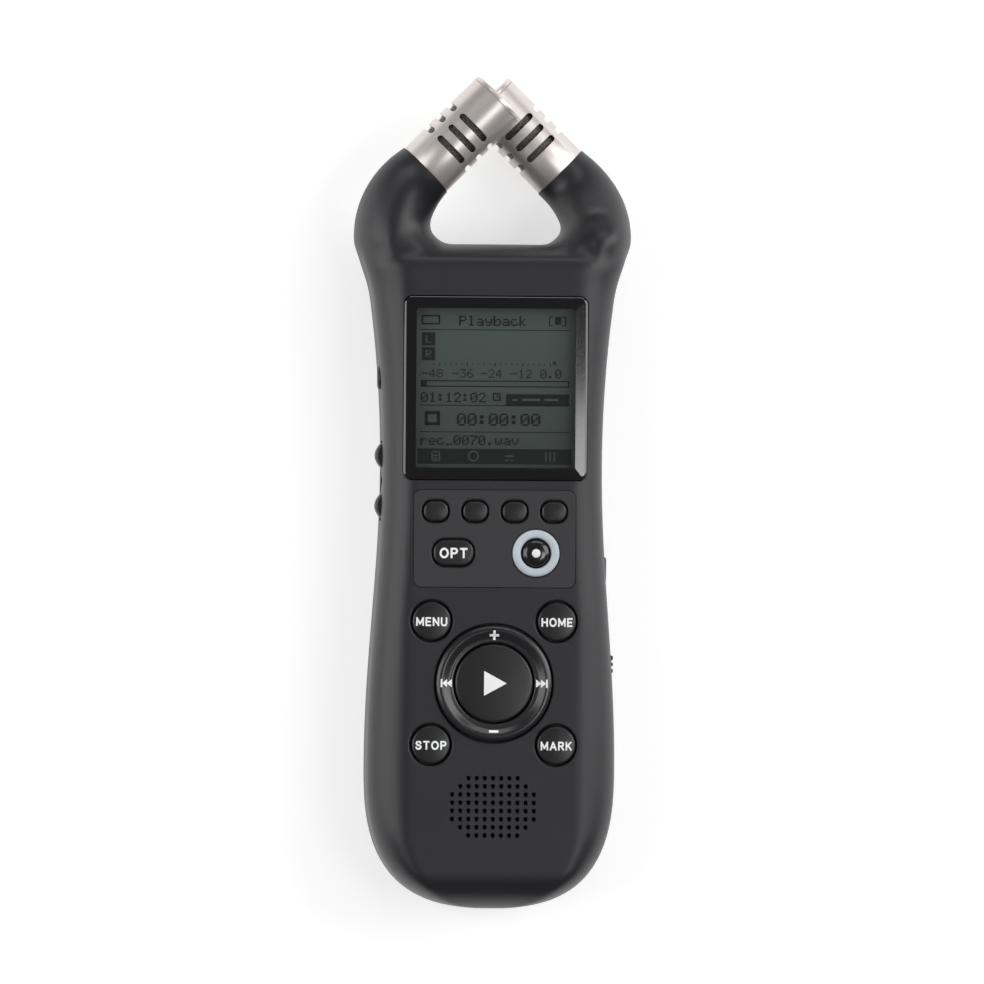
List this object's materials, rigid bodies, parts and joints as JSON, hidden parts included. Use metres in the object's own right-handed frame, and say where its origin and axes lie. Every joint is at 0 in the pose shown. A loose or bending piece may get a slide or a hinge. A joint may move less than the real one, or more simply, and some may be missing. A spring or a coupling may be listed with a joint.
{
  "type": "portable field recorder",
  "caption": "Handheld stereo audio recorder: hourglass casing, square display, key pad with tilting ring, and two crossed microphone barrels inside a D-shaped guard.",
  "frame": {"origin": "middle of the bounding box at the level of the back face, on which the recorder lies", "axes": "+X to the right of the front face, +Y towards the microphones, +Z out of the front face"},
  "size_m": [0.052, 0.1577, 0.0271],
  "materials": {
    "casing": "soft-touch charcoal",
    "window": "gloss black border round a clear pane",
    "lcd": "grey-green reflective display",
    "steel": "plain bright",
    "inlay": "fine satin",
    "key": "satin black with white legends",
    "light_guide": "frosted pale grey",
    "lamp": "white lens",
    "moulding": "plain black moulding",
    "rubber": "plain",
    "board": "green solder mask",
    "chip": "moulded black",
    "speaker": "paper cone",
    "nickel": "satin champagne nickel",
    "mesh": "woven dark mesh",
    "capsule": "plain",
    "side_control": "satin black",
    "jack": "moulded black",
    "cell": "plain wrapped cell",
    "brass": "turned",
    "screw": "black oxide"
  },
  "bodies": {
    "case": {"front_cover": "casing", "rear_cover": "casing", "display_window": "window", "lcd_panel": "lcd", "lcd_frame": "steel", "keypad_inlay": "inlay", "record_ring": "light_guide", "key_mat": "rubber", "switch_domes": "steel", "main_board": "board", "board_components": "chip", "board_screws": "steel", "speaker": "speaker", "speaker_gasket": "rubber", "mic_barrel_left": "nickel", "mic_barrel_right": "nickel", "mic_cap_left": "nickel", "mic_cap_right": "nickel", "mic_mesh_left": "mesh", "mic_mesh_right": "mesh", "mic_capsule_left": "capsule", "mic_capsule_right": "capsule", "rocker_pin": "steel", "rocker_bracket": "moulding", "line_in_jack": "jack", "headphone_jack": "jack", "side_switches": "moulding", "usb_port": "steel", "card_socket": "steel", "memory_card": "chip", "battery_tray": "moulding", "battery_cells": "cell", "battery_springs": "steel", "battery_contacts": "steel", "door_bracket": "moulding", "door_hinge_pin": "steel", "tripod_insert": "brass", "case_screws": "screw"},
    "soft_key_1": {"soft_key_1": "key"},
    "soft_key_2": {"soft_key_2": "key"},
    "soft_key_3": {"soft_key_3": "key"},
    "soft_key_4": {"soft_key_4": "key"},
    "option_key": {"option_key": "key"},
    "record_key": {"record_key": "key", "record_lamp": "lamp"},
    "menu_key": {"menu_key": "key"},
    "home_key": {"home_key": "key"},
    "stop_key": {"stop_key": "key"},
    "mark_key": {"mark_key": "key"},
    "play_key": {"play_key": "key"},
    "nav_gimbal": {"nav_gimbal": "moulding"},
    "nav_ring": {"nav_ring": "key"},
    "level_rocker": {"level_rocker": "side_control"},
    "side_button": {"side_button": "side_control"},
    "hold_switch": {"hold_switch": "side_control"},
    "battery_door": {"battery_door": "casing"}
  },
  "joints": [
    {"name": "soft_key_1_press", "type": "slide", "parent": "case", "child": "soft_key_1", "axis": [0, 0, -1], "range_m": [0, 0.0006], "stiffness_N_per_m": 2500, "springref_m": -0.0002},
    {"name": "soft_key_2_press", "type": "slide", "parent": "case", "child": "soft_key_2", "axis": [0, 0, -1], "range_m": [0, 0.0006], "stiffness_N_per_m": 2500, "springref_m": -0.0002},
    {"name": "soft_key_3_press", "type": "slide", "parent": "case", "child": "soft_key_3", "axis": [0, 0, -1], "range_m": [0, 0.0006], "stiffness_N_per_m": 2500, "springref_m": -0.0002},
    {"name": "soft_key_4_press", "type": "slide", "parent": "case", "child": "soft_key_4", "axis": [0, 0, -1], "range_m": [0, 0.0006], "stiffness_N_per_m": 2500, "springref_m": -0.0002},
    {"name": "option_key_press", "type": "slide", "parent": "case", "child": "option_key", "axis": [0, 0, -1], "range_m": [0, 0.0006], "stiffness_N_per_m": 2500, "springref_m": -0.0002},
    {"name": "record_key_press", "type": "slide", "parent": "case", "child": "record_key", "axis": [0, 0, -1], "range_m": [0, 0.0006], "stiffness_N_per_m": 2500, "springref_m": -0.0002},
    {"name": "menu_key_press", "type": "slide", "parent": "case", "child": "menu_key", "axis": [0, 0, -1], "range_m": [0, 0.0006], "stiffness_N_per_m": 2500, "springref_m": -0.0002},
    {"name": "home_key_press", "type": "slide", "parent": "case", "child": "home_key", "axis": [0, 0, -1], "range_m": [0, 0.0006], "stiffness_N_per_m": 2500, "springref_m": -0.0002},
    {"name": "stop_key_press", "type": "slide", "parent": "case", "child": "stop_key", "axis": [0, 0, -1], "range_m": [0, 0.0006], "stiffness_N_per_m": 2500, "springref_m": -0.0002},
    {"name": "mark_key_press", "type": "slide", "parent": "case", "child": "mark_key", "axis": [0, 0, -1], "range_m": [0, 0.0006], "stiffness_N_per_m": 2500, "springref_m": -0.0002},
    {"name": "play_key_press", "type": "slide", "parent": "case", "child": "play_key", "axis": [0, 0, -1], "range_m": [0, 0.0006], "stiffness_N_per_m": 2500, "springref_m": -0.0002},
    {"name": "nav_rock_updown", "type": "hinge", "parent": "case", "child": "nav_gimbal", "pos_m": [0, -0.0362, 0.0218], "axis": [1, 0, 0], "range_deg": [-2, 2], "stiffness_Nm_per_rad": 0.5},
    {"name": "nav_rock_leftright", "type": "hinge", "parent": "nav_gimbal", "child": "nav_ring", "pos_m": [0, -0.0362, 0.0218], "axis": [0, 1, 0], "range_deg": [-2, 2], "stiffness_Nm_per_rad": 0.5},
    {"name": "level_rock", "type": "hinge", "parent": "case", "child": "level_rocker", "pos_m": [-0.0172, 0.002, 0.013], "axis": [0, 0, 1], "range_deg": [-3, 3], "stiffness_Nm_per_rad": 0.3},
    {"name": "side_button_press", "type": "slide", "parent": "case", "child": "side_button", "axis": [-1, 0, 0], "range_m": [0, 0.0004], "stiffness_N_per_m": 2500, "springref_m": -0.0002},
    {"name": "hold_slide", "type": "slide", "parent": "case", "child": "hold_switch", "axis": [0, -1, 0], "range_m": [0, 0.0024]},
    {"name": "battery_door_hinge", "type": "hinge", "parent": "case", "child": "battery_door", "pos_m": [0, -0.007, 0.0016], "axis": [1, 0, 0], "range_deg": [0, 95]}
  ]
}
